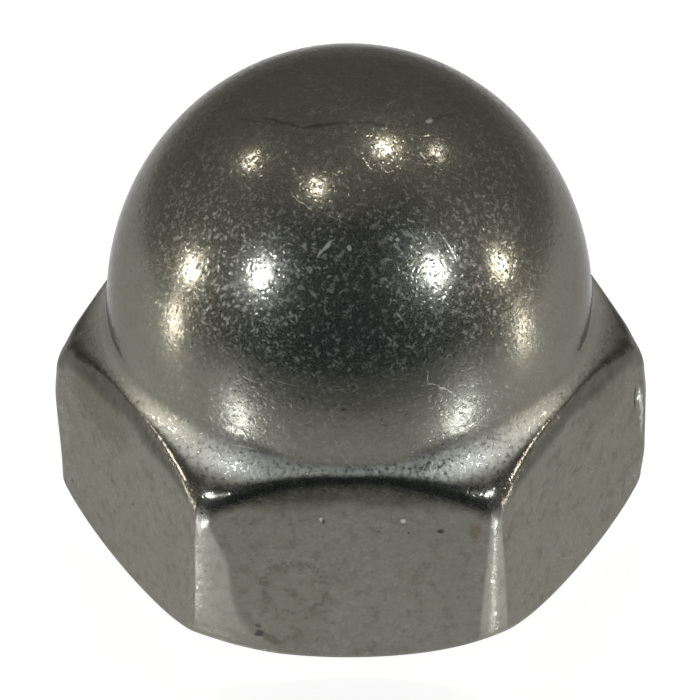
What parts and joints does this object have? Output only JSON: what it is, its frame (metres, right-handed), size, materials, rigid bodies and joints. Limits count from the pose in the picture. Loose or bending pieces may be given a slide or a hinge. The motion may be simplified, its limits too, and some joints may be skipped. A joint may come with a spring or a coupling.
{
  "type": "cap nut",
  "caption": "Domed cap nut with a hexagon body, a short neck and a blind tapped hole; it closes and covers the end of a bolt.",
  "frame": {"origin": "centre of the flat bearing face, on the thread axis", "axes": "+Z along the thread axis, from the bearing face up to the crown of the dome; two corners of the hexagon on +X and -X; one flat faces -Y"},
  "size_m": [0.0196, 0.017, 0.0175],
  "materials": {
    "steel": "tumbled stainless steel with fine scratches and small pits"
  },
  "bodies": {
    "root": {"cap_nut": "steel"}
  },
  "joints": []
}
